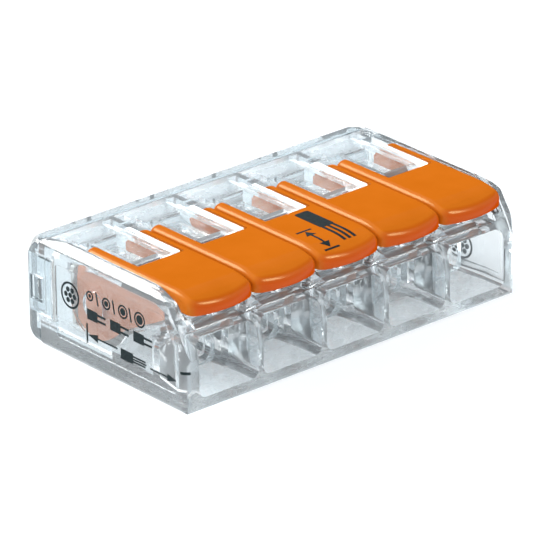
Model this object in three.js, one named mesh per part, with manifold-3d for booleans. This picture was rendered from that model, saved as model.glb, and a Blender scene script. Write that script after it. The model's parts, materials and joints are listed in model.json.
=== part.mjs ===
// Lever wire connector with five poles in a row.
// A clear housing is closed at the back by a snap-on cover. Inside, one tinned busbar runs through
// all the poles, and each pole has a clamp spring that a hinged lever opens.
// Millimetres. X runs across the poles, Y from the wire entries (front, -Y) to the rear cover, Z up.
// The origin is on the underside, in the middle of the outline.

import * as THREE from 'three';
import { mergeVertices } from 'three/addons/utils/BufferGeometryUtils.js';
import Module from 'manifold-3d';

const wasm = await Module();
wasm.setup();

// ---------------------------------------------------------------- driving dimensions

const POLES = 5;
const PITCH = 6.9;            // from pole to pole
const WIDTH = 36.7;           // X, over the side walls
const DEPTH = 21.1;           // Y, over the wire entries and the rear cover
const HOUSING_HEIGHT = 9.5;   // Z, outside of the roof
const RIM_TOP = 10.05;        // Z, side walls and ridges that stand up beside the levers
const LEVER_TOP = 10.1;       // Z, top of the closed levers

const CORNER_RADIUS = 0.93;   // upright corners of the housing
const REAR_EDGE_RADIUS = 0.8; // edge between its roof and its rear face
const EDGE_RADIUS = 0.45;     // its lower edges
const SIDE_WALL = 1.05;
const FLOOR_TOP = 1.25;
const ROOF_UNDERSIDE = 8.9;
const SEAM_Y = 8.4;           // rear face of the housing, where the cover starts
const SEAM_GAP = 0.2;
const GAP = 0.2;              // running gap beside everything that moves

const PIVOT = { y: 2.0, z: 5.6 };                  // hinge axis of the levers
const BOW = { y: -4.4, z: 6.6, radius: 1.1 };      // centre line of the spring's bend
const CLAMP_ANGLE = THREE.MathUtils.degToRad(-21.5);
const STRIP_THICKNESS = 0.35;                      // spring steel
const STRIP_HALF_WIDTH = 1.7;

const TONGUE_HALF_WIDTH = 2.3;                     // roof strip between the two arms of a lever
const CHEEK_INNER_X = TONGUE_HALF_WIDTH + GAP;
const CHEEK_OUTER_X = 3.0;
const CHAMBER_HALF_WIDTH = CHEEK_OUTER_X + 0.175;
const LEVER_HALF_WIDTH = 3.3;
const SLOT_HALF_WIDTH = PITCH / 2;                 // the slots of neighbouring poles meet
const DISC_RADIUS = 3.05;                          // round end of a lever cheek
const TRUNNION_RADIUS = 1.2;
const LUG_RADIUS = 0.4;
const LUG = { y: PIVOT.y - 1.15, z: PIVOT.z - 0.8 };

const BUSBAR_BOTTOM = FLOOR_TOP + 0.1;
const BUSBAR_TOP = BUSBAR_BOTTOM + 0.6;

const FRONT_Y = -DEPTH / 2;
const REAR_Y = DEPTH / 2;
const NOSE = { y: FRONT_Y + 0.05, bottom: 8.3 };   // front end of a closed lever
const SIDE_X = WIDTH / 2;
const INNER_X = SIDE_X - SIDE_WALL;
const BEYOND = 1;             // how far a cutting block reaches past the surface that it opens

const poleCentres = Array.from({ length: POLES }, (_, i) => (i - (POLES - 1) / 2) * PITCH);
const dividerCentres = poleCentres.slice(1).map((x) => x - PITCH / 2);

// ---------------------------------------------------------------- outlines

// Corners are [u, v] or [u, v, radius], and go round anticlockwise.
function outline(corners, steps = 3) {
  const points = [];
  corners.forEach(([u, v, radius = 0], i) => {
    const corner = new THREE.Vector2(u, v);
    if (radius === 0) {
      points.push(corner);
      return;
    }
    const before = new THREE.Vector2(...corners.at(i - 1)).sub(corner).normalize();
    const after = new THREE.Vector2(...corners[(i + 1) % corners.length]).sub(corner).normalize();
    const half = Math.acos(before.dot(after)) / 2;
    const bisector = before.clone().add(after).normalize();
    const centre = corner.clone().addScaledVector(bisector, radius / Math.sin(half));
    const from = before.multiplyScalar(radius / Math.tan(half)).add(corner).sub(centre);
    const to = after.multiplyScalar(radius / Math.tan(half)).add(corner).sub(centre);
    const turn = Math.atan2(from.cross(to), from.dot(to));
    for (let step = 0; step <= steps; step++) {
      const spoke = from.clone().rotateAround(new THREE.Vector2(), (turn * step) / steps);
      points.push(spoke.add(centre));
    }
  });
  return new THREE.Shape(points);
}

function roundedRectangle(u0, u1, v0, v1, radius, steps = 3) {
  return outline([[u0, v0, radius], [u1, v0, radius], [u1, v1, radius], [u0, v1, radius]], steps);
}

function arcPoints([u, v], radius, startAngle, endAngle, steps) {
  return Array.from({ length: steps + 1 }, (_, i) => {
    const angle = startAngle + ((endAngle - startAngle) * i) / steps;
    return [u + radius * Math.cos(angle), v + radius * Math.sin(angle)];
  });
}

// A bent strip of even thickness, seen edge on, from the middle line of the metal.
function stripOutline(middleLine, thickness) {
  const middle = middleLine.map((point) => new THREE.Vector2(...point));
  const sides = [[], []];
  middle.forEach((point, i) => {
    const before = middle[Math.max(i - 1, 0)];
    const after = middle[Math.min(i + 1, middle.length - 1)];
    const along = after.clone().sub(before).normalize();
    const across = new THREE.Vector2(-along.y, along.x).multiplyScalar(thickness / 2);
    sides[0].push(point.clone().add(across));
    sides[1].push(point.clone().sub(across));
  });
  return new THREE.Shape([...sides[1], ...sides[0].reverse()]);
}

// ---------------------------------------------------------------- solids

function solidOf(geometry) {
  geometry.deleteAttribute('normal');
  geometry.deleteAttribute('uv');
  const merged = mergeVertices(geometry, 1e-5);
  return new wasm.Manifold(new wasm.Mesh({
    numProp: 3,
    vertProperties: new Float32Array(merged.attributes.position.array),
    triVerts: new Uint32Array(merged.index.array),
  }));
}

function extruded(shape, depth) {
  return new THREE.ExtrudeGeometry(shape, { depth, bevelEnabled: false, steps: 1 });
}

// The outline is drawn in (y, z).
function prismX(shape, x0, x1) {
  const turned = new THREE.Matrix4().makeBasis(
    new THREE.Vector3(0, 1, 0), new THREE.Vector3(0, 0, 1), new THREE.Vector3(1, 0, 0));
  return solidOf(extruded(shape, x1 - x0).applyMatrix4(turned).translate(x0, 0, 0));
}

// The outline is drawn in (x, z).
function prismY(shape, y0, y1) {
  const turned = new THREE.Matrix4().makeBasis(
    new THREE.Vector3(1, 0, 0), new THREE.Vector3(0, 0, 1), new THREE.Vector3(0, -1, 0));
  return solidOf(extruded(shape, y1 - y0).applyMatrix4(turned).translate(0, y1, 0));
}

// The outline is drawn in (x, y).
function prismZ(shape, z0, z1) {
  return solidOf(extruded(shape, z1 - z0).translate(0, 0, z0));
}

function block(x0, x1, y0, y1, z0, z1) {
  const box = new THREE.BoxGeometry(x1 - x0, y1 - y0, z1 - z0);
  return solidOf(box.translate((x0 + x1) / 2, (y0 + y1) / 2, (z0 + z1) / 2));
}

function rodX(centre, radius, x0, x1, sides = 20) {
  const rod = new THREE.CylinderGeometry(radius, radius, x1 - x0, sides);
  return solidOf(rod.rotateZ(Math.PI / 2).translate((x0 + x1) / 2, centre.y, centre.z));
}

function joined(solids) {
  return solids.reduce((whole, solid) => whole.add(solid));
}

function cutBy(solid, cutters) {
  return cutters.reduce((rest, cutter) => rest.subtract(cutter), solid);
}

// The same solid made on the -X and the +X side, from a function of that side's sign.
function bothSides(make) {
  return [-1, 1].map(make);
}

function blockBeside(side, nearX, farX, y0, y1, z0, z1) {
  const [x0, x1] = [side * nearX, side * farX].sort((a, b) => a - b);
  return block(x0, x1, y0, y1, z0, z1);
}

// ---------------------------------------------------------------- housing and rear cover

// Where the rim of the side walls starts to run down to the rear and to the front, how far in it
// reaches, and the height of the shoulder that it slopes down to at the sides.
const RIM = { rearY: 5.5, frontY: FRONT_Y + 4.4, innerX: INNER_X + 0.1, shoulderZ: HOUSING_HEIGHT - 0.15 };
// The brow over the wire entries, from its crest down to where the front turns upright.
const BROW = { y: FRONT_Y + 2.15, z: HOUSING_HEIGHT - 0.4, lowY: FRONT_Y + 0.65, lowZ: 6.9, footZ: 4.6 };

// Side view of the housing with its cover, from the corners of its top edge.
function sideView(topEdge) {
  return outline([
    [FRONT_Y, 0, EDGE_RADIUS],
    [REAR_Y, 0, EDGE_RADIUS],
    [REAR_Y, HOUSING_HEIGHT, REAR_EDGE_RADIUS],
    ...topEdge,
    [BROW.y, BROW.z, 0.8],
    [BROW.lowY, BROW.lowZ, 3],
    [FRONT_Y, BROW.footZ, 2],
  ], 4);
}

// Outer skin of the housing with its cover: the side view, plan and front view in common. The side
// walls rise to a rim, which runs out before the rear edge; between them the roof is level.
function envelope() {
  const level = [[RIM.frontY, HOUSING_HEIGHT, 3]];
  const rimFootY = REAR_Y - REAR_EDGE_RADIUS - 0.5;
  const rim = [[rimFootY, HOUSING_HEIGHT], [RIM.rearY, RIM_TOP], [RIM.frontY, RIM_TOP, 3]];
  const plan = roundedRectangle(-SIDE_X, SIDE_X, FRONT_Y, REAR_Y, CORNER_RADIUS, 4);
  const frontView = outline([
    [-SIDE_X, 0, EDGE_RADIUS],
    [SIDE_X, 0, EDGE_RADIUS],
    [SIDE_X, RIM.shoulderZ, 0.4],
    [RIM.innerX, RIM_TOP, 0.3],
    [-RIM.innerX, RIM_TOP, 0.3],
    [-SIDE_X, RIM.shoulderZ, 0.4],
  ]);
  const middle = prismX(sideView(level), -RIM.innerX, RIM.innerX);
  const walls = bothSides((side) => {
    const [x0, x1] = [side * INNER_X, side * (SIDE_X + BEYOND)].sort((a, b) => a - b);
    return prismX(sideView(rim), x0, x1);
  });
  return joined([middle, ...walls])
    .intersect(prismZ(plan, -BEYOND, RIM_TOP + BEYOND))
    .intersect(prismY(frontView, FRONT_Y - BEYOND, REAR_Y + BEYOND));
}

// One wire entry: a square mouth, a funnel that stops the insulation, and the conductor's guide.
const MOUTH = { halfWidth: 3.175, bottom: FLOOR_TOP, top: 6.4, backY: -8.2, radius: 0.7 };
const STOP = { halfWidth: 2.35, bottom: FLOOR_TOP + 0.2, top: 4.9, y: -5.9 };
const GUIDE = { halfWidth: 1.95, bottom: 1.6, top: 4.8, backY: -5.0 };

function wireEntry(x) {
  const mouth = roundedRectangle(
    -MOUTH.halfWidth, MOUTH.halfWidth, MOUTH.bottom, MOUTH.top, MOUTH.radius);
  const funnel = extruded(mouth, STOP.y - MOUTH.backY);
  const vertex = funnel.attributes.position;
  const narrowing = STOP.halfWidth / MOUTH.halfWidth;
  const lowering = (STOP.top - STOP.bottom) / (MOUTH.top - MOUTH.bottom);
  for (let i = 0; i < vertex.count; i++) {
    const atBack = vertex.getZ(i) === 0;
    const across = vertex.getX(i) * (atBack ? narrowing : 1);
    const height = atBack ? STOP.bottom + (vertex.getY(i) - MOUTH.bottom) * lowering : vertex.getY(i);
    vertex.setXYZ(i, x + across, STOP.y - vertex.getZ(i), height);
  }
  const opening = roundedRectangle(
    x - MOUTH.halfWidth, x + MOUTH.halfWidth, MOUTH.bottom, MOUTH.top, MOUTH.radius);
  const guide = roundedRectangle(x - GUIDE.halfWidth, x + GUIDE.halfWidth, GUIDE.bottom, GUIDE.top, 1.2);
  return joined([
    prismY(opening, FRONT_Y - BEYOND, MOUTH.backY),
    solidOf(funnel),
    prismY(guide, STOP.y - 0.1, GUIDE.backY + 0.1),
  ]);
}

// Middle of a pole: the spring's bow above the conductor guide, the clamping space behind it.
const CEILING = 8.1;

function springChamber(x) {
  const shape = outline([
    [GUIDE.backY, GUIDE.bottom],
    [-1.5, BUSBAR_TOP + 0.05],
    [0.2, BUSBAR_TOP + 0.05],
    [0.2, FLOOR_TOP],
    [SEAM_Y + BEYOND, FLOOR_TOP],
    [SEAM_Y + BEYOND, CEILING],
    [BOW.y - BOW.radius - 0.6, CEILING, 0.6],
    [BOW.y - BOW.radius - 0.6, GUIDE.top + 0.75],
    [GUIDE.backY, GUIDE.top + 0.4],
  ]);
  return prismX(shape, x - TONGUE_HALF_WIDTH, x + TONGUE_HALF_WIDTH);
}

// Narrow spaces on both sides of the spring, where the cheeks of the lever lie and swing.
function cheekSpace(x) {
  const shape = outline([
    [-7.25, 6.9, 0.4],
    [-1.9, 4.15],
    [-1.2, 3.2],
    [0.2, 2.1],
    [SEAM_Y + BEYOND, 2.1],
    [SEAM_Y + BEYOND, ROOF_UNDERSIDE],
    [-2.2, ROOF_UNDERSIDE],
    [-7.25, ROOF_UNDERSIDE],
  ]);
  return joined(bothSides((side) => {
    const [x0, x1] = [side * TONGUE_HALF_WIDTH, side * CHAMBER_HALF_WIDTH].sort((a, b) => a - b);
    return prismX(shape, x + x0, x + x1);
  }));
}

// Slots in the roof, and the wells below them that the lever's arms dip into.
const SLOT = { frontY: -2.2, backY: 6.8 };

function armWell(x) {
  const shape = outline([
    [SLOT.frontY, ROOF_UNDERSIDE - 0.3],
    [PIVOT.y, ROOF_UNDERSIDE - 0.3],
    [PIVOT.y, 2.9],
    [SLOT.backY + 0.5, 2.9],
    [SLOT.backY + 0.5, ROOF_UNDERSIDE - 0.4],
    [SLOT.backY, ROOF_UNDERSIDE],
    [SLOT.backY, HOUSING_HEIGHT + BEYOND],
    [SLOT.frontY, HOUSING_HEIGHT + BEYOND],
  ]);
  return joined(bothSides((side) => {
    const outer = side * (SLOT_HALF_WIDTH + 0.01);
    const [x0, x1] = [side * TONGUE_HALF_WIDTH, outer].sort((a, b) => a - b);
    const hub = rodX(PIVOT, DISC_RADIUS - 0.05, x + x0 - BEYOND, x + x1 + BEYOND, 32);
    return prismX(shape, x + x0, x + x1).subtract(hub);
  }));
}

function trunnionHoles(x) {
  const radius = TRUNNION_RADIUS + 0.1;
  return joined(bothSides((side) => {
    const [x0, x1] = [side * 2.9, side * 3.6].sort((a, b) => a - b);
    return rodX(PIVOT, radius, x + x0, x + x1, 24);
  }));
}

// Everything above the lever plates' underside, from side wall to side wall.
const TONGUE_FRONT_Y = -1.85;

function leverSpace() {
  const shape = outline([
    [FRONT_Y - BEYOND, 7.3],
    [-9.75, 7.3],
    [-9.1, 7.85],
    [-8.5, 7.85],
    [-6.3, ROOF_UNDERSIDE - 0.3],
    [TONGUE_FRONT_Y, ROOF_UNDERSIDE - 0.3],
    [TONGUE_FRONT_Y, LEVER_TOP + BEYOND],
    [FRONT_Y - BEYOND, LEVER_TOP + BEYOND],
  ]);
  return prismX(shape, -INNER_X, INNER_X);
}

// Pocket for a fingertip under the nose of a lever.
function nosePocket(x) {
  const halfWidth = 2.8;
  const shape = outline([
    [FRONT_Y - BEYOND, 7.0],
    [-8.9, 7.0],
    [-8.2, 7.7],
    [-8.2, ROOF_UNDERSIDE],
    [FRONT_Y - BEYOND, ROOF_UNDERSIDE],
  ]);
  return prismX(shape, x - halfWidth, x + halfWidth);
}

// The tongue fills the lever's window up to the top of its arms. It stays inside the circle that the
// front edge of the window swings round.
function tongueTop(x) {
  const foot = { frontY: TONGUE_FRONT_Y, backY: 5.6, z: HOUSING_HEIGHT - 0.1 };
  const crest = { frontY: TONGUE_FRONT_Y + 0.15, backY: 4.8, z: RIM_TOP - 0.05 };
  const shape = outline([
    [foot.frontY, foot.z],
    [foot.backY, foot.z],
    [crest.backY, crest.z],
    [crest.frontY, crest.z],
  ]);
  return prismX(shape, x - TONGUE_HALF_WIDTH, x + TONGUE_HALF_WIDTH);
}

// Pocket in the top of the tongue, with the slot for a test probe at its rear end.
function testPocket(x) {
  const floorZ = ROOF_UNDERSIDE + 0.05;
  const pocket = block(x - 1.95, x + 0.55, -0.9, 4.4, floorZ, LEVER_TOP + BEYOND);
  const probeSlot = block(x - 1.0, x + 0.4, 3.1, 4.0, CEILING - BEYOND, HOUSING_HEIGHT);
  return pocket.add(probeSlot);
}

// Pointed rib on top of a divider, between the finger pockets of two levers.
const RIB = { halfWidth: 1.2, bottom: 6.8, top: NOSE.bottom - GAP, backY: -8.3 };

function dividerRib(x) {
  const section = outline([[x - RIB.halfWidth, RIB.bottom], [x + RIB.halfWidth, RIB.bottom], [x, RIB.top]]);
  return prismY(section, FRONT_Y, RIB.backY);
}

// Snap latch between housing and cover, in the side walls.
const LATCH = { bottom: 3.0, top: 8.0, tongueX: SIDE_X - 0.6, nubX: SIDE_X - 0.15, backY: 9.9 };
const WINDOW = { frontY: 8.1, backY: 9.7, bottom: 4.0, top: 6.2 };

function latchTongues() {
  return bothSides((side) => {
    const arm = blockBeside(side, INNER_X, LATCH.tongueX, SEAM_Y - 0.2, LATCH.backY,
      LATCH.bottom, LATCH.top);
    const ramp = new THREE.Shape([
      new THREE.Vector2(side * (LATCH.tongueX - 0.1), WINDOW.frontY + 0.4),
      new THREE.Vector2(side * LATCH.nubX, WINDOW.frontY + 0.4),
      new THREE.Vector2(side * LATCH.nubX, WINDOW.frontY + 0.7),
      new THREE.Vector2(side * (LATCH.tongueX - 0.1), WINDOW.backY - 0.2),
    ]);
    return arm.add(prismZ(ramp, WINDOW.bottom + GAP, WINDOW.top - GAP));
  });
}

function sidePanels() {
  const shape = outline([
    [FRONT_Y + 1.3, 1.6, 0.3],
    [6.3, 1.6, 0.3],
    [6.3, 8.2, 0.3],
    [FRONT_Y + 3.0, 8.2, 0.8],
    [FRONT_Y + 1.3, 5.6, 0.8],
  ]);
  const depth = 0.12;
  return [
    prismX(shape, -SIDE_X - BEYOND, -SIDE_X + depth),
    prismX(shape, SIDE_X - depth, SIDE_X + BEYOND),
  ];
}

function housing() {
  const rearOpening = block(-SIDE_X, SIDE_X, SEAM_Y, REAR_Y + BEYOND, -BEYOND, LEVER_TOP);
  const busbarPassage = block(-16.2, 16.2, 0.2, SEAM_Y + BEYOND, FLOOR_TOP, BUSBAR_TOP + 0.35);
  const latchPockets = bothSides((side) => blockBeside(
    side, LATCH.tongueX, SIDE_X + BEYOND, SLOT.backY - 0.1, SEAM_Y + BEYOND,
    LATCH.bottom - 0.3, LATCH.top + 0.3));
  const shell = cutBy(joined([envelope(), ...poleCentres.map(tongueTop)]), [
    rearOpening,
    leverSpace(),
    busbarPassage,
    ...latchPockets,
    ...sidePanels(),
    ...poleCentres.flatMap((x) => [
      wireEntry(x), springChamber(x), cheekSpace(x), armWell(x), trunnionHoles(x), nosePocket(x),
      testPocket(x),
    ]),
  ]);
  const ribs = joined(dividerCentres.map(dividerRib)).intersect(envelope());
  return joined([shell, ...latchTongues(), ribs]);
}

function rearCover() {
  const frontY = SEAM_Y + SEAM_GAP;
  const body = envelope().intersect(block(-SIDE_X, SIDE_X, frontY, REAR_Y, 0, LEVER_TOP));
  const tabs = bothSides((side) => blockBeside(
    side, LATCH.tongueX + GAP, SIDE_X, SLOT.backY + 0.1, frontY + 0.5,
    LATCH.bottom - 0.1, LATCH.top + 0.1));
  const hollow = block(-INNER_X, INNER_X, frontY - BEYOND, REAR_Y - SIDE_WALL,
    FLOOR_TOP - 0.05, ROOF_UNDERSIDE - 0.5);
  const latchSpaces = bothSides((side) => blockBeside(
    side, INNER_X - 0.1, LATCH.tongueX + GAP, frontY - BEYOND, LATCH.backY + 0.15,
    LATCH.bottom - 0.15, LATCH.top + 0.15));
  const windows = bothSides((side) => blockBeside(
    side, LATCH.tongueX, SIDE_X + BEYOND, WINDOW.frontY, WINDOW.backY, WINDOW.bottom, WINDOW.top));
  const ribs = dividerCentres.map((x) => block(
    x - 0.25, x + 0.25, frontY + 0.2, REAR_Y - 0.5, FLOOR_TOP - 0.2, ROOF_UNDERSIDE - 0.3));
  const shell = cutBy(joined([body, ...tabs]), [hollow, ...latchSpaces, ...windows]);
  return joined([shell, ...ribs]);
}

// ---------------------------------------------------------------- busbar

// One stamped and bent part: a bar under all the poles, with an upright frame behind each clamp.
const FRAME = { frontY: 6.45, backY: 6.95, top: 7.3 };

function busbar() {
  const reach = poleCentres.at(-1) + TONGUE_HALF_WIDTH;
  const bar = block(-reach, reach, 0.5, 5.0, BUSBAR_BOTTOM, BUSBAR_TOP);
  const frames = poleCentres.map((x) => {
    const halfWidth = 1.8;
    const foot = block(x - halfWidth, x + halfWidth, 4.5, FRAME.backY, BUSBAR_BOTTOM, BUSBAR_TOP);
    const upright = prismY(
      roundedRectangle(x - halfWidth, x + halfWidth, BUSBAR_BOTTOM, FRAME.top, 0.3),
      FRAME.frontY, FRAME.backY);
    const hole = roundedRectangle(x - 1.25, x + 1.25, BUSBAR_TOP + 0.4, FRAME.top - 1.0, 0.4);
    return foot.add(upright).subtract(prismY(hole, FRAME.frontY - 0.5, FRAME.backY + 0.5));
  });
  return joined([bar, ...frames]);
}

// ---------------------------------------------------------------- clamp springs

// Hook over the busbar's frame, top leg and bow: the part of the spring that stays still.
function clampSpring() {
  const topZ = BOW.z + BOW.radius;
  const hookY = FRAME.backY + 0.15 + STRIP_THICKNESS / 2;
  const bend = 0.35;
  const bowEnd = THREE.MathUtils.degToRad(235);
  const middleLine = [
    [hookY, topZ - 1.4],
    ...arcPoints([hookY - bend, topZ - bend], bend, 0, Math.PI / 2, 4),
    ...arcPoints([BOW.y, BOW.z], BOW.radius, Math.PI / 2, bowEnd, 12),
  ];
  return prismX(stripOutline(middleLine, STRIP_THICKNESS), -STRIP_HALF_WIDTH, STRIP_HALF_WIDTH);
}

// The clamping leg springs about the bow. Its ears reach forward over the lugs of the lever.
// Its shape is drawn along the leg, from the bow's centre, and then turned to the clamping angle.
function clampLeg() {
  const length = 8.9;
  const under = -BOW.radius - STRIP_THICKNESS / 2;
  const over = under + STRIP_THICKNESS;
  const turned = (points) => new THREE.Shape(points.map(([along, above]) => new THREE.Vector2(along, above)
    .rotateAround(new THREE.Vector2(), CLAMP_ANGLE).add(new THREE.Vector2(BOW.y, BOW.z))));
  const blade = turned([[0, under], [length - 0.1, under], [length, over], [0, over]]);
  const shoulder = turned([[6.3, under], [7.1, under], [7.1, over], [6.3, over]]);
  const ear = turned([
    [6.3, under], [7.1, under], [7.1, 1.05], [6.85, 1.3], [4.4, 1.3], [4.4, 0.75], [6.3, 0.75],
  ]);
  const [earInnerX, earOuterX] = [1.8, 2.1];
  return joined([
    prismX(blade, -STRIP_HALF_WIDTH, STRIP_HALF_WIDTH),
    prismX(shoulder, -earOuterX, earOuterX),
    prismX(ear, -earOuterX, -earInnerX),
    prismX(ear, earInnerX, earOuterX),
  ]);
}

// ---------------------------------------------------------------- levers

const LEVER_WINDOW_Y = -2.1;
const ARM_END_Y = 4.2;

// Seen from above: straight sides, round corners, and a nose that bulges to the front in one arc.
function leverPlan() {
  const w = LEVER_HALF_WIDTH;
  const bulge = 0.4;
  const noseRadius = (w * w + bulge * bulge) / (2 * bulge);
  const halfAngle = Math.asin((w - 0.6) / noseRadius);
  return outline([
    [-w, ARM_END_Y],
    [-w, NOSE.y + bulge, 0.7],
    ...arcPoints(
      [0, NOSE.y + noseRadius], noseRadius, -Math.PI / 2 - halfAngle, -Math.PI / 2 + halfAngle, 8),
    [w, NOSE.y + bulge, 0.7],
    [w, ARM_END_Y],
  ]);
}

// Below a narrow land, the front face of the window leans forward to clear the tongue as it swings.
function leverPlate() {
  const sideView = outline([
    [NOSE.y, NOSE.bottom, 0.25],
    [-8.6, NOSE.bottom],
    [-6.4, ROOF_UNDERSIDE],
    [ARM_END_Y, ROOF_UNDERSIDE],
    [ARM_END_Y, LEVER_TOP, 0.4],
    [NOSE.y + 1.1, LEVER_TOP, 3],
    [NOSE.y, LEVER_TOP - 0.9, 0.25],
  ]);
  const w = LEVER_HALF_WIDTH;
  const frontView = outline([[-w, 0], [w, 0], [w, LEVER_TOP, 0.45], [-w, LEVER_TOP, 0.45]]);
  const opening = outline([
    [-CHEEK_INNER_X, LEVER_WINDOW_Y, 0.12],
    [CHEEK_INNER_X, LEVER_WINDOW_Y, 0.12],
    [CHEEK_INNER_X, ARM_END_Y + BEYOND],
    [-CHEEK_INNER_X, ARM_END_Y + BEYOND],
  ]);
  const land = LEVER_TOP - 0.15;
  const undercut = outline([
    [LEVER_WINDOW_Y - 1.25, land - 1.25],
    [LEVER_WINDOW_Y, land - 1.25],
    [LEVER_WINDOW_Y, land],
  ]);
  return prismX(sideView, -w - BEYOND, w + BEYOND)
    .intersect(prismZ(leverPlan(), 0, LEVER_TOP + BEYOND))
    .intersect(prismY(frontView, NOSE.y - BEYOND, ARM_END_Y + BEYOND))
    .subtract(prismZ(opening, 0, LEVER_TOP + BEYOND))
    .subtract(prismX(undercut, -CHEEK_INNER_X, CHEEK_INNER_X));
}

// Side plate under an arm: a long web that runs back to a round disc about the hinge axis.
function leverCheek(side) {
  const rearY = PIVOT.y + 2.4;
  const discStart = -Math.acos((rearY - PIVOT.y) / DISC_RADIUS);
  const discEnd = THREE.MathUtils.degToRad(-135);
  const shape = outline([
    [rearY, ROOF_UNDERSIDE + 0.1],
    [-6.5, ROOF_UNDERSIDE + 0.1],
    [-7.0, 7.35, 0.4],
    [-6.3, 6.95, 0.3],
    [-1.7, 4.6, 1.0],
    ...arcPoints([PIVOT.y, PIVOT.z], DISC_RADIUS, discEnd, discStart, 10),
  ]);
  const [x0, x1] = [side * CHEEK_INNER_X, side * CHEEK_OUTER_X].sort((a, b) => a - b);
  return prismX(shape, x0, x1);
}

function lever() {
  const trunnionEnd = 3.35;
  const hingeParts = bothSides((side) => {
    const [t0, t1] = [side * (CHEEK_OUTER_X - 0.2), side * trunnionEnd].sort((a, b) => a - b);
    const [l0, l1] = [side * 1.8, side * (CHEEK_INNER_X + 0.2)].sort((a, b) => a - b);
    return joined([
      leverCheek(side),
      rodX(PIVOT, TRUNNION_RADIUS, t0, t1, 24),
      rodX(LUG, LUG_RADIUS, l0, l1, 12),
    ]);
  });
  return joined([leverPlate(), ...hingeParts]);
}

// ---------------------------------------------------------------- scene

const materials = {
  clear: { color: 0xdfe5e9, roughness: 0.06, metalness: 0, transparent: true, opacity: 0.35 },
  orange: { color: 0xe87a12, roughness: 0.22, metalness: 0 },
  tinned: { color: 0xb9b6ae, roughness: 0.35, metalness: 1 },
  spring: { color: 0x9a9da0, roughness: 0.3, metalness: 1 },
};

function named(name, geometry, material, x = 0) {
  const mesh = new THREE.Mesh(geometry, new THREE.MeshStandardMaterial(materials[material]));
  mesh.name = name;
  mesh.position.x = x;
  return mesh;
}

function geometryOf(solid) {
  const { vertProperties, triVerts } = solid.getMesh();
  const geometry = new THREE.BufferGeometry();
  geometry.setAttribute('position', new THREE.BufferAttribute(vertProperties, 3));
  geometry.setIndex(new THREE.BufferAttribute(triVerts, 1));
  geometry.computeVertexNormals();
  return geometry;
}

const group = new THREE.Group();
group.add(named('housing', geometryOf(housing()), 'clear'));
group.add(named('rear_cover', geometryOf(rearCover()), 'clear'));
group.add(named('busbar', geometryOf(busbar()), 'tinned'));

const leverGeometry = geometryOf(lever());
const springGeometry = geometryOf(clampSpring());
const legGeometry = geometryOf(clampLeg());
poleCentres.forEach((x, i) => {
  group.add(named(`lever_${i + 1}`, leverGeometry, 'orange', x));
  group.add(named(`clamp_spring_${i + 1}`, springGeometry, 'spring', x));
  group.add(named(`clamp_leg_${i + 1}`, legGeometry, 'spring', x));
});

export default group;
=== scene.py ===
"""Looks of a five-pole lever wire connector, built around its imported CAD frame.

Outlines are written in millimetres and become metres when a mesh is made. X runs across the poles,
Y from the wire entries to the rear cover, Z up.
"""

import json
import math

import bmesh
import bpy
from mathutils import Matrix, Vector


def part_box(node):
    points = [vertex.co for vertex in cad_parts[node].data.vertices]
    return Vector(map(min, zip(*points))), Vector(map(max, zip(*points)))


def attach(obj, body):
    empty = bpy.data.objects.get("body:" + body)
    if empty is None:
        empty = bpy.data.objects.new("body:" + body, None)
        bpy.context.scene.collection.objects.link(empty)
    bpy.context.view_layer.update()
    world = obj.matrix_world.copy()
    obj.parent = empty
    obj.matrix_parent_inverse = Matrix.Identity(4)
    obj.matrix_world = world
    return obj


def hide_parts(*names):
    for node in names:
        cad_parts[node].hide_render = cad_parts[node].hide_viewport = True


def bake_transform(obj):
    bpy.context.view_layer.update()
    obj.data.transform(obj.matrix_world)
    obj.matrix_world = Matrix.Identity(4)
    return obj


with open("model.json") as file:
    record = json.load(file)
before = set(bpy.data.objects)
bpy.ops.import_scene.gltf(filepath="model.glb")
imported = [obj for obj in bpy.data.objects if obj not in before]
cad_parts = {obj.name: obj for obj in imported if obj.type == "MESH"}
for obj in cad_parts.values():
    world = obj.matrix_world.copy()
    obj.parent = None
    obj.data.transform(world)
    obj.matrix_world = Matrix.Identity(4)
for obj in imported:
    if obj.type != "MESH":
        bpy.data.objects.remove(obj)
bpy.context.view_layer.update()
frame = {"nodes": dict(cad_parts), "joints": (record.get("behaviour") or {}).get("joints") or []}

# ---------------------------------------------------------------- sizes from the frame, in millimetres

MM = 0.001
BEYOND = 1.0                    # how far a cutting solid reaches past what it cuts
WELD = 0.002                    # corners closer than this are one corner


def millimetres(vector):
    return Vector(vector) / MM


joints = {joint["name"]: joint for joint in frame["joints"]}
POLES = sum(name.startswith("lever_") for name in joints)
HINGES = [millimetres(joints[f"lever_{k}_hinge"]["pos_m"]) for k in range(1, POLES + 1)]
BOW = millimetres(joints["clamp_leg_1_bend"]["pos_m"])
PIVOT = Vector((HINGES[0].y, HINGES[0].z))      # of every lever, seen from the side
HOUSING_LOW, HOUSING_HIGH = (millimetres(corner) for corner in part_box("housing"))
COVER_LOW, COVER_HIGH = (millimetres(corner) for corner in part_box("rear_cover"))
LEVER_LOW, LEVER_HIGH = (millimetres(corner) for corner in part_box("lever_1"))
SIDE = HOUSING_HIGH.x
FRONT = HOUSING_LOW.y
REAR = COVER_HIGH.y
RIM = HOUSING_HIGH.z            # top of the side walls, which stand up beside the levers
ROOF_TOP = COVER_HIGH.z

# ---------------------------------------------------------------- outlines and solids


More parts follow.
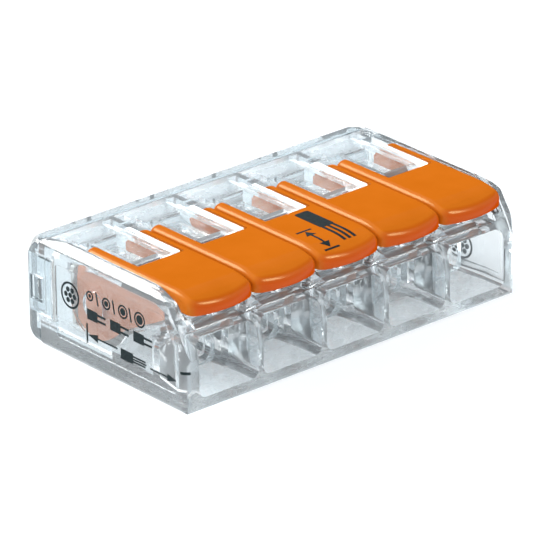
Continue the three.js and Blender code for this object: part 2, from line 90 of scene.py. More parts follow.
def rounded(corners, step=math.radians(10)):
    """Closed outline through corners (u, v) or (u, v, radius), with an arc at each radius."""
    points = []
    for i, (u, v, *radius) in enumerate(corners):
        corner = Vector((u, v))
        if not radius:
            points.append(corner)
            continue
        before = (Vector(corners[i - 1][:2]) - corner).normalized()
        after = (Vector(corners[(i + 1) % len(corners)][:2]) - corner).normalized()
        half = before.angle(after) / 2
        centre = corner + (before + after).normalized() * (radius[0] / math.sin(half))
        start = corner + before * (radius[0] / math.tan(half)) - centre
        end = corner + after * (radius[0] / math.tan(half)) - centre
        turn = start.angle_signed(end)
        steps = max(2, math.ceil(abs(turn) / step))
        for s in range(steps + 1):
            spoke = start.copy()
            spoke.rotate(Matrix.Rotation(-turn * s / steps, 2))
            points.append(centre + spoke)
    return points


def rectangle(u0, u1, v0, v1, radius=0.0):
    corners = [(u0, v0), (u1, v0), (u1, v1), (u0, v1)]
    return rounded([(*c, radius) for c in corners]) if radius else [Vector(c) for c in corners]


def arc(centre, radius, start, end, steps):
    """Points from angle start to angle end, in degrees."""
    angles = [math.radians(start + (end - start) * s / steps) for s in range(steps + 1)]
    return [(centre[0] + radius * math.cos(a), centre[1] + radius * math.sin(a)) for a in angles]


# Which world directions an outline's u and v run in, and the direction that it is extruded in.
PLANES = {
    "X": (Vector((0, 1, 0)), Vector((0, 0, 1)), Vector((1, 0, 0))),
    "Y": (Vector((1, 0, 0)), Vector((0, 0, 1)), Vector((0, 1, 0))),
    "Z": (Vector((1, 0, 0)), Vector((0, 1, 0)), Vector((0, 0, 1))),
}


def linked(name, mesh):
    piece = bpy.data.objects.new(name, mesh)
    bpy.context.scene.collection.objects.link(piece)
    return piece


def object_from(bm, name="solid"):
    bmesh.ops.recalc_face_normals(bm, faces=bm.faces)
    mesh = bpy.data.meshes.new(name)
    bm.to_mesh(mesh)
    bm.free()
    return linked(name, mesh)


def gathered(solids, name="solid"):
    """One object that holds these separate solids."""
    bm = bmesh.new()
    for solid in solids:
        bm.from_mesh(solid.data)
        bpy.data.objects.remove(solid)
    return object_from(bm, name)


def prism(axis, outline, low, high):
    """Solid with this outline from low to high along an axis."""
    along_u, along_v, along = PLANES[axis]
    bm = bmesh.new()
    rings = [
        [bm.verts.new((along_u * p[0] + along_v * p[1] + along * level) * MM) for p in outline]
        for level in (low, high)
    ]
    bm.faces.new(rings[0])
    bm.faces.new(rings[1])
    for i in range(len(outline)):
        bm.faces.new((rings[0][i - 1], rings[0][i], rings[1][i], rings[1][i - 1]))
    return object_from(bm)


def block(x0, x1, y0, y1, z0, z1):
    return prism("Z", rectangle(x0, x1, y0, y1), z0, z1)


def rod(y, z, radius, x0, x1, sides=40):
    return prism("X", arc((y, z), radius, 0, 360 * (1 - 1 / sides), sides - 1), x0, x1)


def applied(piece):
    """Replaces the piece's mesh with what its modifiers make of it."""
    evaluated = piece.evaluated_get(bpy.context.evaluated_depsgraph_get())
    mesh = bpy.data.meshes.new_from_object(evaluated)
    piece.modifiers.clear()
    piece.data = mesh
    return piece


def combined(piece, operation, tools):
    """The piece with each tool joined to it ("UNION"), cut from it ("DIFFERENCE") or kept ("INTERSECT")."""
    for tool in tools:
        modifier = piece.modifiers.new(operation, "BOOLEAN")
        modifier.operation = operation
        modifier.solver = "EXACT"
        modifier.object = tool
    applied(piece)
    for tool in tools:
        bpy.data.objects.remove(tool)
    return piece


def cleaned(piece, flat=math.radians(0.6)):
    """Welds the mesh and merges the triangles of each flat face."""
    bm = bmesh.new()
    bm.from_mesh(piece.data)
    bmesh.ops.remove_doubles(bm, verts=bm.verts, dist=WELD * MM)
    bmesh.ops.dissolve_limit(bm, angle_limit=flat, verts=bm.verts, edges=bm.edges)
    bmesh.ops.recalc_face_normals(bm, faces=bm.faces)
    bm.to_mesh(piece.data)
    bm.free()
    return piece


def smoothed(piece, sharpest=math.radians(28)):
    """Shades curved stretches smoothly and keeps flat faces flat, up to the sharp edges between them."""
    piece.data.shade_smooth()
    piece.data.set_sharp_from_angle(angle=sharpest)
    normals = piece.modifiers.new("normals", "WEIGHTED_NORMAL")
    normals.mode = "FACE_AREA"
    normals.weight = 100
    normals.keep_sharp = True
    return piece


def edged(piece, radius, segments, bevelled=math.radians(35), sharpest=math.radians(50)):
    """Rounds every sharp edge of a simple piece."""
    bevel = piece.modifiers.new("edges", "BEVEL")
    bevel.width = radius * MM
    bevel.segments = segments
    bevel.limit_method = "ANGLE"
    bevel.angle_limit = bevelled
    bevel.use_clamp_overlap = False
    bevel.miter_outer = "MITER_ARC"
    return smoothed(applied(piece), sharpest)


def copied(node, name):
    """A piece that starts as a clean copy of a CAD node's mesh, which it then stands for."""
    mesh = frame["nodes"][node].data.copy()
    mesh.materials.clear()
    piece = cleaned(linked(name, mesh))
    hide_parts(node)
    return piece


def finished(piece, name, body, material):
    """Names the piece, gives it its material, and lets it ride on a body if it has one."""
    piece.name = name
    piece.data.materials.clear()
    piece.data.materials.append(material)
    if body:
        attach(piece, body)
    return piece


# ---------------------------------------------------------------- materials


def new_material(name):
    material = bpy.data.materials.new(name)
    material.use_nodes = True
    nodes = material.node_tree.nodes
    return material, nodes, material.node_tree.links, nodes["Principled BSDF"]


def noise(nodes, links, scale, detail=3.0, stretch=(1, 1, 1)):
    """Noise in the piece's own coordinates. scale is in patches per metre."""
    place = nodes.new("ShaderNodeTexCoord")
    mapping = nodes.new("ShaderNodeMapping")
    mapping.inputs["Scale"].default_value = stretch
    texture = nodes.new("ShaderNodeTexNoise")
    texture.inputs["Scale"].default_value = scale
    texture.inputs["Detail"].default_value = detail
    links.new(place.outputs["Object"], mapping.inputs["Vector"])
    links.new(mapping.outputs["Vector"], texture.inputs["Vector"])
    return texture.outputs["Fac"]


def ramp(nodes, links, source, low, high, low_at=0.3, high_at=0.7):
    """Colours or numbers between low and high, by a source from 0 to 1."""
    spread = nodes.new("ShaderNodeValToRGB")
    ends = [value if hasattr(value, "__len__") else (value,) * 3 for value in (low, high)]
    for element, end, at in zip(spread.color_ramp.elements, ends, (low_at, high_at)):
        element.position = at
        element.color = (*end, 1)
    links.new(source, spread.inputs["Fac"])
    return spread.outputs["Color"]


def bumped(nodes, links, shader, height, distance, strength=1.0):
    bump = nodes.new("ShaderNodeBump")
    bump.inputs["Strength"].default_value = strength
    bump.inputs["Distance"].default_value = distance * MM
    links.new(height, bump.inputs["Height"])
    links.new(bump.outputs["Normal"], shader.inputs["Normal"])


def multiplied(nodes, links, first, second):
    product = nodes.new("ShaderNodeVectorMath")
    product.operation = "MULTIPLY"
    links.new(first, product.inputs[0])
    links.new(second, product.inputs[1])
    return product.outputs["Vector"]


def clear_plastic(name, smoothest, roughest, deep=(0.82, 0.86, 0.88), pale=(0.86, 0.895, 0.91)):
    """Polycarbonate, faintly blue, with flow marks from the mould. Lamps shine through it."""
    material, nodes, links, shader = new_material(name)
    shader.inputs["Transmission Weight"].default_value = 0.92
    shader.inputs["IOR"].default_value = 1.56
    tint = ramp(nodes, links, noise(nodes, links, 180), deep, pale)
    links.new(tint, shader.inputs["Base Color"])
    haze = ramp(nodes, links, noise(nodes, links, 900, 4), smoothest, roughest, 0.45, 0.8)
    links.new(haze, shader.inputs["Roughness"])
    bumped(nodes, links, shader, noise(nodes, links, 260, 2, (1, 0.5, 1)), 0.02, 0.06)
    lamp_light = nodes.new("ShaderNodeBsdfTransparent")
    lamp_light.inputs["Color"].default_value = (0.86, 0.9, 0.92, 1)
    path = nodes.new("ShaderNodeLightPath")
    mix = nodes.new("ShaderNodeMixShader")
    links.new(path.outputs["Is Shadow Ray"], mix.inputs["Fac"])
    links.new(shader.outputs["BSDF"], mix.inputs[1])
    links.new(lamp_light.outputs["BSDF"], mix.inputs[2])
    links.new(mix.outputs["Shader"], nodes["Material Output"].inputs["Surface"])
    return material


def orange_plastic():
    """Glossy moulded plastic, with fine texture from the mould, and painted shade: faces turned to the front
    are darker and redder.
    """
    material, nodes, links, shader = new_material("orange_plastic")
    orange = ramp(nodes, links, noise(nodes, links, 350, 4), (0.535, 0.13, 0.0065), (0.57, 0.142, 0.009))
    place = nodes.new("ShaderNodeTexCoord")
    axes = nodes.new("ShaderNodeSeparateXYZ")
    links.new(place.outputs["Normal"], axes.inputs["Vector"])
    # Painted shade, not a deeper pigment: the more a face turns to the front, the darker and redder its
    # colour, as if lit only from behind.
    front_shade_mask = nodes.new("ShaderNodeMapRange")
    front_shade_mask.inputs["From Min"].default_value = -1.0
    front_shade_mask.inputs["From Max"].default_value = -0.35
    links.new(axes.outputs["Y"], front_shade_mask.inputs["Value"])
    depth = ramp(nodes, links, front_shade_mask.outputs["Result"], (0.82, 0.40, 0.1), (1, 1, 1), 0.05, 0.95)
    links.new(multiplied(nodes, links, orange, depth), shader.inputs["Base Color"])
    roughness = ramp(nodes, links, noise(nodes, links, 2500, 3), 0.15, 0.22)
    links.new(roughness, shader.inputs["Roughness"])
    facing = nodes.new("ShaderNodeLayerWeight").outputs["Facing"]
    links.new(ramp(nodes, links, facing, 0.3, 0.0, 0.32, 0.52), shader.inputs["Specular IOR Level"])
    shader.inputs["Specular Tint"].default_value = (1, 0.93, 0.45, 1)
    bumped(nodes, links, shader, noise(nodes, links, 6000, 3), 0.002, 0.1)
    return material


def metal(name, dark, light, smoothest, roughest, stretch):
    """Bare rolled metal, with fine streaks along the way it was rolled."""
    material, nodes, links, shader = new_material(name)
    shader.inputs["Metallic"].default_value = 1.0
    rolled = noise(nodes, links, 3000, 4, stretch)
    links.new(ramp(nodes, links, rolled, dark, light), shader.inputs["Base Color"])
    links.new(ramp(nodes, links, rolled, smoothest, roughest), shader.inputs["Roughness"])
    bumped(nodes, links, shader, rolled, 0.01, 0.3)
    return material


def ink():
    material, nodes, links, shader = new_material("printing_ink")
    colour = ramp(nodes, links, noise(nodes, links, 4000, 4), (0.006, 0.013, 0.015), (0.016, 0.027, 0.03))
    links.new(colour, shader.inputs["Base Color"])
    shader.inputs["Roughness"].default_value = 0.5
    shader.inputs["Specular IOR Level"].default_value = 0.1
    return material


CLEAR = clear_plastic("clear_plastic", 0.0, 0.035)
FROSTED = clear_plastic("frosted_plastic", 0.26, 0.34)
# A darker copy of the clear plastic for the rear cover: its deeper tint is painted shade.
SHADED_CLEAR = clear_plastic("shaded_clear_plastic", 0.0, 0.035, (0.70, 0.77, 0.80), (0.75, 0.81, 0.84))
TINNED = metal("tinned_copper", (0.55, 0.53, 0.49), (0.72, 0.70, 0.66), 0.22, 0.38, (1, 0.06, 1))
STEEL = metal("spring_steel", (0.55, 0.56, 0.58), (0.68, 0.69, 0.71), 0.2, 0.34, (0.05, 1, 1))
ORANGE = orange_plastic()
INK = ink()

# ---------------------------------------------------------------- housing and rear cover

SKIN_CORNER = 0.95              # upright corners
PANEL_DEPTH = 0.12              # of the panels that are let into the side walls
CEILING = RIM - 1.95            # underside of the roof over the springs
POCKET_FLOOR = RIM - 1.1        # floor of the pocket in each tongue


def outer_skin():
    """Finely rounded outside of the housing and its cover, just inside the frame's own corners."""
    side_view = rounded([
        (FRONT, 0, 0.6),
        (REAR, 0, 1.1),
        (REAR, ROOF_TOP, 1.4),
        (REAR - 2.0, ROOF_TOP + 0.02, 2),
        (PIVOT.x + 3.5, RIM, 4),
        (FRONT + 4.4, RIM, 4),
        (FRONT + 2.15, ROOF_TOP - 0.4, 1.3),
        (FRONT + 0.65, 6.9, 4),
        (FRONT, 4.6, 3),
    ], math.radians(4))
    rim_edge, shoulder = SIDE - 0.95, ROOF_TOP - 0.15
    front_view = rounded([
        (-SIDE, 0, 0.6),
        (SIDE, 0, 0.6),
        (SIDE, shoulder, 0.9),
        (rim_edge, RIM, 0.7),
        (-rim_edge, RIM, 0.7),
        (-SIDE, shoulder, 0.9),
    ])
    plan = rectangle(-SIDE, SIDE, FRONT, REAR, SKIN_CORNER)
    reach = 3 * SIDE
    diagonal = (SIDE + REAR - 2 * SKIN_CORNER) / math.sqrt(2) + SKIN_CORNER
    corner_view = rounded([(-reach, 0), (diagonal, 0, 1.8), (diagonal, RIM, 2.6), (-reach, RIM)])
    skin = prism("X", side_view, -SIDE - BEYOND, SIDE + BEYOND)
    for turn in (45, 135):
        corner = prism("Y", corner_view, -reach, reach)
        corner.data.transform(Matrix.Rotation(math.radians(turn), 4, "Z"))
        combined(skin, "INTERSECT", [corner])
    combined(skin, "INTERSECT", [prism("Z", plan, -BEYOND, RIM + BEYOND)])
    return combined(skin, "INTERSECT", [prism("Y", front_view, FRONT - BEYOND, REAR + BEYOND)])


def frosted(piece, heights):
    """Gives the level faces at these heights the matt finish of an eroded mould."""
    level, near = 0.99, 0.02 * MM
    piece.data.materials.append(FROSTED)
    for face in piece.data.polygons:
        if abs(face.normal.z) > level and any(abs(face.center.z - z * MM) < near for z in heights):
            face.material_index = 1


def tongue_grooves():
    """Pairs of fine grooves along the ridge beside each pocket."""
    width, depth = 0.1, 0.17
    front, rear = PIVOT.x - 2.9, PIVOT.x + 2.9
    grooves = []
    for hinge in HINGES:
        for offset in (1.12, 1.7):
            left = hinge.x + offset
            grooves.append(block(left, left + width, front, rear, RIM - depth, RIM + BEYOND))
    return gathered(grooves)


def housing():
    piece = combined(copied("housing", "clear_housing"), "INTERSECT", [outer_skin()])
    combined(piece, "DIFFERENCE", [tongue_grooves()])
    finished(smoothed(piece), "clear_housing", "base", CLEAR)
    frosted(piece, (HOUSING_LOW.z, CEILING, POCKET_FLOOR))


def rear_cover():
    piece = copied("rear_cover", "clear_rear_cover")
    front_view = rectangle(-SIDE, SIDE, 0, ROOF_TOP, 0.9)
    tools = [outer_skin(), prism("Y", front_view, COVER_LOW.y - BEYOND, REAR + BEYOND)]
    combined(piece, "INTERSECT", tools)
    finished(smoothed(piece), "clear_rear_cover", "base", SHADED_CLEAR)


# ---------------------------------------------------------------- levers

PLATE_HALF_WIDTH = 3.35
PLATE_TOP = LEVER_HIGH.z - 0.02         # the print on it reaches the top of the frame
PLATE_UNDERSIDE = 8.9                   # between the cheeks
NOSE = LEVER_LOW.y
NOSE_BOTTOM = 8.3
NOSE_BULGE = 0.65
ARM_END = PIVOT.x + 2.2
LEVER_WINDOW = PIVOT.x - 4.1            # front edge of the window between the arms
CHEEK_INNER, CHEEK_OUTER = 2.5, 3.0
CHEEK_REAR = PIVOT.x + 2.4
DISC_RADIUS = 3.05


def mirrored(make):
    """Both of a pair of solids, from a function of the side's sign."""
    return [make(side) for side in (-1, 1)]


def span(side, near, far):
    return sorted((side * near, side * far))


def lever_plan(inset):
    """Right half of the plate seen from above, from the rear to the nose, set in by a distance.

    The sides are straight, the corners small, and the nose bulges to the front in one arc.
    """
    half, corner, rows = PLATE_HALF_WIDTH, 0.9, 10
    radius = (half ** 2 + NOSE_BULGE ** 2) / (2 * NOSE_BULGE)
    reach = math.sqrt((radius - corner) ** 2 - (half - corner) ** 2)
    corner_y = NOSE + radius - reach
    bend = -math.degrees(math.atan2(reach, half - corner))
    return [
        (0, ARM_END - inset),
        *arc((half - corner, ARM_END - corner), corner - inset, 90, 0, 8),
        *[(half - inset, LEVER_WINDOW + (corner_y - LEVER_WINDOW) * s / rows) for s in range(rows)],
        *arc((half - corner, corner_y), corner - inset, 0, bend, 6),
        *arc((0, NOSE + radius), radius - inset, bend, -90, 16)[1:],
    ]


def plate_top(y):
    """The top is level; it falls to the nose in a wide curve, and a little to the ends of the arms."""
    curve, front_start = 7.0, NOSE + 3.2
    rear_start, rear_fall = ARM_END - 1.1, 0.4
    if y > rear_start:
        return PLATE_TOP - rear_fall * (y - rear_start) ** 2
    if y > front_start:
        return PLATE_TOP
    return PLATE_TOP - (curve - math.sqrt(curve ** 2 - (front_start - y) ** 2))


def plate_loop(bm, inset, height):
    """Corners all round the plate, set in by a distance, at the height that a function gives for each y."""
    right = lever_plan(inset)
    left = [(-x, y) for x, y in right[-2:0:-1]]
    return [bm.verts.new(Vector((x, y, height(y))) * MM) for x, y in [*right, *left]]


def whole_plate():
    """A slab whose upper edge is evenly rounded, and whose lower edge is eased."""
    edge, steps = 0.6, 7
    under_edge, under_steps = 0.22, 2
    bm = bmesh.new()
    loops = []
    for s in range(under_steps + 1):
        angle = math.pi / 2 * s / under_steps
        rise = under_edge * (1 - math.cos(angle))
        loops.append(plate_loop(bm, under_edge * (1 - math.sin(angle)), lambda y: NOSE_BOTTOM + rise))
    for s in range(steps + 1):
        angle = math.pi / 2 * s / steps
        fall = edge * (1 - math.sin(angle))
        loops.append(plate_loop(bm, edge * (1 - math.cos(angle)), lambda y: plate_top(y) - fall))
    count = len(loops[0])
    for below, above in zip(loops, loops[1:]):
        for i in range(count):
            bm.faces.new((below[i - 1], below[i], above[i], above[i - 1]))
    for loop in (loops[0], loops[-1]):
        for i in range(count // 2):
            corners = [loop[i], loop[i + 1], loop[-i - 1], loop[-i % count]]
            bm.faces.new(dict.fromkeys(corners))
    return object_from(bm)


def lever_plate():
    """The plate, less the window between its arms and the relief under them."""
    thick_end, thin_start = PIVOT.x - 10.6, PIVOT.x - 8.4
    relief = [
        (thick_end, NOSE_BOTTOM - 1), (ARM_END + 1, NOSE_BOTTOM - 1), (ARM_END + 1, PLATE_UNDERSIDE),
        (thin_start, PLATE_UNDERSIDE), (thick_end, NOSE_BOTTOM),
    ]
    half = CHEEK_INNER
    window = rounded([
        (-half, LEVER_WINDOW, 0.15), (half, LEVER_WINDOW, 0.15), (half, ARM_END + 1), (-half, ARM_END + 1),
    ])
    land, depth = PLATE_TOP - 0.15, 1.25
    undercut = [(LEVER_WINDOW - depth, land - depth), (LEVER_WINDOW, land - depth), (LEVER_WINDOW, land)]
    return combined(whole_plate(), "DIFFERENCE", [
        prism("X", relief, -PLATE_HALF_WIDTH - BEYOND, PLATE_HALF_WIDTH + BEYOND),
        prism("Z", window, 0, PLATE_TOP + BEYOND),
        prism("X", undercut, -half, half),
    ])


def lever_cheek(side):
    """Side plate under an arm: a long web that runs back to a round disc about the hinge."""
    top = PLATE_UNDERSIDE + 0.1
    disc_start = -math.degrees(math.acos((CHEEK_REAR - PIVOT.x) / DISC_RADIUS))
    outline = rounded([
        (CHEEK_REAR, top),
        (PIVOT.x - 8.5, top),
        (PIVOT.x - 9.0, 7.35, 0.4),
        (PIVOT.x - 8.3, 6.95, 0.3),
        (PIVOT.x - 3.7, 4.6, 1.0),
        *arc(PIVOT, DISC_RADIUS, -135, disc_start, 20),
    ])
    return prism("X", outline, *span(side, CHEEK_INNER, CHEEK_OUTER))


def trunnion(side):
    """Pin on the outside of a cheek, about the hinge."""
    return rod(PIVOT.x, PIVOT.y, 1.2, *span(side, CHEEK_OUTER - 0.2, PLATE_HALF_WIDTH))


def lug(side):
    """Pin on the inside of a cheek, which pushes the clamping leg open."""
    return rod(PIVOT.x - 1.15, PIVOT.y - 0.8, 0.4, *span(side, 1.8, CHEEK_INNER + 0.2), 20)


def lever_mesh():
    hinge_parts = [*mirrored(lever_cheek), *mirrored(trunnion), *mirrored(lug)]
    return cleaned(combined(lever_plate(), "UNION", hinge_parts), math.radians(0.05))


def levers():
    """The mesh is made once. It is copied for every lever but the last, which is the first mesh itself."""
    first = lever_mesh()
    for k, hinge in enumerate(HINGES, start=1):
        piece = first if k == POLES else linked("lever", first.data.copy())
        piece.data.transform(Matrix.Translation((hinge.x * MM, 0, 0)))
        smoothed(piece)
        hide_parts(f"lever_{k}")
        finished(piece, f"orange_lever_{k}", f"lever_{k}", ORANGE)


# ---------------------------------------------------------------- busbar and clamp springs

STRIP = 0.35                    # thickness of the spring steel
BOW_RADIUS = 1.1                # middle line of the bend
CLAMP_ANGLE = -21.5             # of the clamping leg at rest, in degrees
LEG_LENGTH = 8.9
STRIP_HALF_WIDTH = 1.7


def strip_outline(middle_line, thickness):
    """A bent strip seen edge on, from the middle line of the metal."""
    middle = [Vector(point) for point in middle_line]
    near, far = [], []
    for i, point in enumerate(middle):
        along = (middle[min(i + 1, len(middle) - 1)] - middle[max(i - 1, 0)]).normalized()
        across = Vector((-along.y, along.x)) * thickness / 2
        near.append(point + across)
        far.append(point - across)
    return near + far[::-1]


def from_bow(along, above):
    """A place (y, z), from how far it lies along the clamping leg and above the bow's centre."""
    turn = math.radians(CLAMP_ANGLE)
    return (
        BOW.y + along * math.cos(turn) - above * math.sin(turn),
        BOW.z + along * math.sin(turn) + above * math.cos(turn),
    )


def spring_strip(x, k):
    """One strip: hook over the busbar's frame, top leg, bow and clamping leg."""
    top, hook = BOW.z + BOW_RADIUS, PIVOT.x + 5.275
    hook_drop, hook_bend = 1.4, 0.35
    top_leg = hook - hook_bend - BOW.y
    top_steps, leg_steps = 6, 12
    middle_line = [
        (hook, top - hook_drop),
        *arc((hook - hook_bend, top - hook_bend), hook_bend, 0, 90, 6),
        *[(BOW.y + top_leg * (1 - s / top_steps), top) for s in range(1, top_steps)],
        *arc((BOW.y, BOW.z), BOW_RADIUS, 90, 270 + CLAMP_ANGLE, 22),
        *[from_bow(LEG_LENGTH * s / leg_steps, -BOW_RADIUS) for s in range(1, leg_steps + 1)],
    ]
    outline = strip_outline(middle_line, STRIP)
    piece = prism("X", outline, x - STRIP_HALF_WIDTH, x + STRIP_HALF_WIDTH)
    edged(piece, 0.04, 1)
    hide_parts(f"clamp_spring_{k}")
    finished(piece, f"spring_strip_{k}", None, STEEL)
    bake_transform(piece)


def spring_ears(x, k):
    """Shoulders at the end of a clamping leg, with ears along it, where the lever's lugs push."""
    under = -BOW_RADIUS - STRIP / 2
    shoulder, end, ear_tip = 6.3, 7.1, 4.4
    ear_low, ear_high, bevel = 0.75, 1.3, 0.25
    inner, outer = 1.72, 2.1
    corners = [
        (shoulder, under), (end, under), (end, ear_high - bevel), (end - bevel, ear_high),
        (ear_tip, ear_high), (ear_tip, ear_low), (shoulder, ear_low),
    ]
    outline = [from_bow(*corner) for corner in corners]
    left, right = mirrored(lambda side: prism("X", outline, *(x + edge for edge in span(side, inner, outer))))
    piece = combined(left, "UNION", [right])
    edged(piece, 0.05, 2)
    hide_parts(f"clamp_leg_{k}")
    finished(piece, f"spring_ears_{k}", f"clamp_leg_{k}", STEEL)


def busbar():
    piece = edged(copied("busbar", "tinned_busbar"), 0.05, 2)
    finished(piece, "tinned_busbar", "base", TINNED)


# ---------------------------------------------------------------- printed marks

INK_THICKNESS = 0.015
CLEARANCE = 0.001               # between the print and the plastic under it


def ring(centre, outer, inner, steps=40):
    """Outline of a ring with a hairline cut, so that it is one closed outline."""
    turn = 360 * (1 - 0.001)
    return [*arc(centre, outer, 0, turn, steps), *arc(centre, inner, turn, 0, steps)]


def disc(centre, radius, steps=24):
    return arc(centre, radius, 0, 360 * (1 - 1 / steps), steps - 1)


def bar(u0, u1, v, width):
    return rectangle(*sorted((u0, u1)), v - width / 2, v + width / 2)


def arrow(tail, tip, v, shaft, head, half_width):
    """Arrow along u, from its tail to its tip."""
    neck = tip - math.copysign(head, tip - tail)
    return [
        (tail, v - shaft / 2), (neck, v - shaft / 2), (neck, v - half_width),
        (tip, v),
        (neck, v + half_width), (neck, v + shaft / 2), (tail, v + shaft / 2),
    ]


def stranded_wire(centre, radius):
    """End view of a stranded wire: a ring of insulation round seven strands."""
    strand = radius * 0.2
    middles = [centre, *arc(centre, radius * 0.46, 0, 300, 5)]
    return [ring(centre, radius, radius * 0.84), *(disc(middle, strand, 14) for middle in middles)]


def stripped_wire(start, v, insulation, strands, thickness):
    """Side view of a wire that points to -u: insulation, then bare strands (height off its axis, length)."""
    bare = start - insulation
    marks = [bar(start, bare, v, 0.95)]
    for offset, length in strands:
        marks.append(bar(bare, bare - length, v + offset, thickness))
    return marks


def printed(name, axis, outlines, low, high, body):
    """Flat printed shapes, all in one piece."""
    piece = gathered([prism(axis, outline, low, high) for outline in outlines], name)
    return finished(piece, name, body, INK)


def strip_gauge():
    """Shows how much of a wire to strip: a line, an arrow to each end, and a stripped wire between."""
    strands = [(-0.23, 1.6), (0, 1.7), (0.23, 1.6)]
    return [
        rectangle(2.25, 2.45, 2.3, 4.1),
        arrow(-1.6, 2.25, 3.1, 0.15, 1.3, 0.36),
        arrow(-5.8, -9.2, 2.75, 0.13, 1.2, 0.33),
        *stripped_wire(-2.0, 2.85, 1.6, strands, 0.16),
    ]


def wire_sizes():
    """End views of wires of rising size, with a leaning stroke between each two."""
    v, height, width, lean = 6.7, 0.6, 0.18, 0.24
    marks = []
    for i, radius in enumerate((0.2, 0.28, 0.36, 0.44)):
        u = 1.9 - 2.15 * i
        marks += [ring((u, v), radius + 0.26, radius + 0.1), disc((u, v), radius - 0.02)]
        if i:
            left, right = u + 1.0, u + 1.0 + width
            marks.append([
                (left, v - height), (right, v - height),
                (right + lean, v + height), (left + lean, v + height),
            ])
    return marks


def side_marks():
    """Strip-length gauge, wire sizes, wires and a ring mark on the left side wall, drawn as (y, z)."""
    surface = -SIDE + PANEL_DEPTH
    wires = []
    for start in (2.3, -0.7, -3.7):
        wires += stripped_wire(start, 5.0, 1.35, [(0.25, 1.05), (-0.25, 1.05)], 0.2)
    outlines = [*strip_gauge(), *wire_sizes(), *wires, *stranded_wire((4.5, 5.9), 1.2)]
    printed("printed_marks_left", "X", outlines, surface - INK_THICKNESS, surface - CLEARANCE, "base")


def draped(piece):
    """Cuts flat print into narrow strips across the lever and lowers each onto the curved top."""
    start, strip, strips = NOSE + 0.9, 0.1, 24
    bm = bmesh.new()
    bm.from_mesh(piece.data)
    for s in range(strips):
        place = Vector((0, start + s * strip, 0)) * MM
        bmesh.ops.bisect_plane(bm, geom=[*bm.verts, *bm.edges, *bm.faces], plane_co=place, plane_no=(0, 1, 0))
    for vertex in bm.verts:
        vertex.co.z += (plate_top(vertex.co.y / MM) - PLATE_TOP) * MM
    bm.to_mesh(piece.data)
    bm.free()


def lever_marks():
    """A stripped wire and its length, on top of the middle lever, drawn as (x, y)."""
    x = HINGES[POLES // 2].x
    tip, stripped_to, end = -9.0, -6.2, -2.7
    wire = [rectangle(x + 0.1, x + 1.6, stripped_to, end, 0.25)]
    for offset in (0.3, 0.85, 1.4):
        wire.append(rectangle(x + offset - 0.14, x + offset + 0.14, tip, stripped_to))
    double_arrow = [
        [(v, u) for u, v in arrow(-7.6, arrow_tip, x - 1.5, 0.2, 0.8, 0.5)] for arrow_tip in (-9.2, -6.0)
    ]
    lines = [rectangle(x - 2.3, x - 0.7, front, front + 0.2) for front in (-9.5, -5.9)]
    outlines = [*wire, *double_arrow, *lines]
    body = f"lever_{POLES // 2 + 1}"
    draped(printed("printed_marks_lever", "Z", outlines, PLATE_TOP + CLEARANCE, LEVER_HIGH.z, body))


def corner_mark():
    """Short tick round the front corner, level with the gauge."""
    centre = (-SIDE + SKIN_CORNER, FRONT + SKIN_CORNER)
    first, last, steps = 192, 245, 12
    outside = arc(centre, SKIN_CORNER + INK_THICKNESS, first, last, steps)
    inside = arc(centre, SKIN_CORNER + CLEARANCE, last, first, steps)
    printed("printed_mark_corner", "Z", [[*outside, *inside]], 3.65, 3.9, "base")


def right_mark():
    """A ring mark low on the right side wall, in its front half."""
    surface = SIDE - PANEL_DEPTH
    outlines = stranded_wire((-4.5, 3.0), 1.25)
    printed("printed_mark_right", "X", outlines, surface + CLEARANCE, surface + INK_THICKNESS, "base")


# ---------------------------------------------------------------- stage, lights and camera


def floor():
    """Pale and slightly self-lit, just under the object."""
    material, _, _, shader = new_material("pale_floor")
    shader.inputs["Base Color"].default_value = (0.55, 0.555, 0.56, 1)
    shader.inputs["Roughness"].default_value = 0.9
    shader.inputs["Specular IOR Level"].default_value = 0.1
    shader.inputs["Emission Color"].default_value = (0.96, 0.985, 1, 1)
    shader.inputs["Emission Strength"].default_value = 0.58
    reach, below = 1500, -0.05
    piece = block(-reach, reach, -reach, reach, below - 1, below)
    piece.name = "floor"
    piece.data.materials.append(material)


def area_light(name, position, size, power, colour=(1, 1, 1)):
    """A square softbox that faces the object. position and size are in metres."""
    light = bpy.data.lights.new(name, "AREA")
    light.shape = "RECTANGLE"
    light.size, light.size_y = size, size
    light.energy = power
    light.color = colour
    lamp = bpy.data.objects.new(name, light)
    lamp.location = position
    lamp.rotation_euler = (-Vector(position)).to_track_quat("-Z", "Y").to_euler()
    bpy.context.scene.collection.objects.link(lamp)


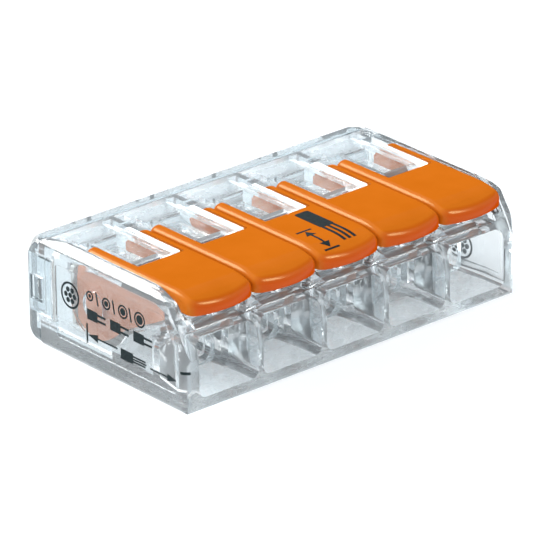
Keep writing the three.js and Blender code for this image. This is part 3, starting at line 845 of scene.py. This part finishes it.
def sky():
    """Pale all round, less a soft dark flag, which keeps glare off the levers' level tops."""
    world = bpy.data.worlds.new("studio")
    world.use_nodes = True
    nodes, links = world.node_tree.nodes, world.node_tree.links
    place = nodes.new("ShaderNodeTexCoord")
    axes = nodes.new("ShaderNodeSeparateXYZ")
    links.new(place.outputs["Generated"], axes.inputs["Vector"])
    pale = ramp(nodes, links, axes.outputs["Z"], (0.84, 0.88, 0.92), (1.0, 1.04, 1.08), 0.0, 0.8)
    towards_flag = nodes.new("ShaderNodeVectorMath")
    towards_flag.operation = "DOT_PRODUCT"
    towards_flag.inputs[1].default_value = (0.593, 0.1, 0.8)
    links.new(place.outputs["Generated"], towards_flag.inputs[0])
    flag = ramp(nodes, links, towards_flag.outputs["Value"], 1.0, 0.05, 0.80, 0.91)
    links.new(multiplied(nodes, links, pale, flag), nodes["Background"].inputs["Color"])
    bpy.context.scene.world = world


def studio():
    """Soft light, true colours, and enough bounces for light to pass through all the clear walls."""
    sky()
    area_light("left_rear_softbox", (-0.33, 0.56, 0.47), 0.36, 4.8, (1, 0.98, 0.95))
    area_light("right_front_softbox", (0.234, -0.442, 0.39), 0.16, 1.3)
    bpy.context.scene.view_settings.view_transform = "Standard"
    bpy.context.scene.cycles.max_bounces = 24
    bpy.context.scene.cycles.transmission_bounces = 24
    bpy.context.scene.cycles.transparent_max_bounces = 48


def camera():
    """A long lens that looks down on the front left corner, turned a little about its own axis."""
    azimuth, elevation, roll = (math.radians(a) for a in (-40.46, 24.0, -0.72))
    distance, focal_length = 0.48927, 385.5
    aim_right, aim_up = -0.000255, 0.003852
    back = Vector((
        math.sin(azimuth) * math.cos(elevation),
        -math.cos(azimuth) * math.cos(elevation),
        math.sin(elevation),
    ))
    level = Vector((math.cos(azimuth), math.sin(azimuth), 0))
    right = level * math.cos(roll) + back.cross(level) * math.sin(roll)
    up = back.cross(right)
    data = bpy.data.cameras.new("camera")
    data.lens = focal_length
    camera_object = bpy.data.objects.new("camera", data)
    place = Matrix((right, up, back)).transposed().to_4x4()
    place.translation = right * aim_right + up * aim_up + back * distance
    camera_object.matrix_world = place
    bpy.context.scene.collection.objects.link(camera_object)
    bpy.context.scene.camera = camera_object


camera()
studio()
floor()
housing()
rear_cover()
levers()
busbar()
for number, hinge_place in enumerate(HINGES, start=1):
    spring_strip(hinge_place.x, number)
    spring_ears(hinge_place.x, number)
side_marks()
corner_mark()
lever_marks()
right_mark()
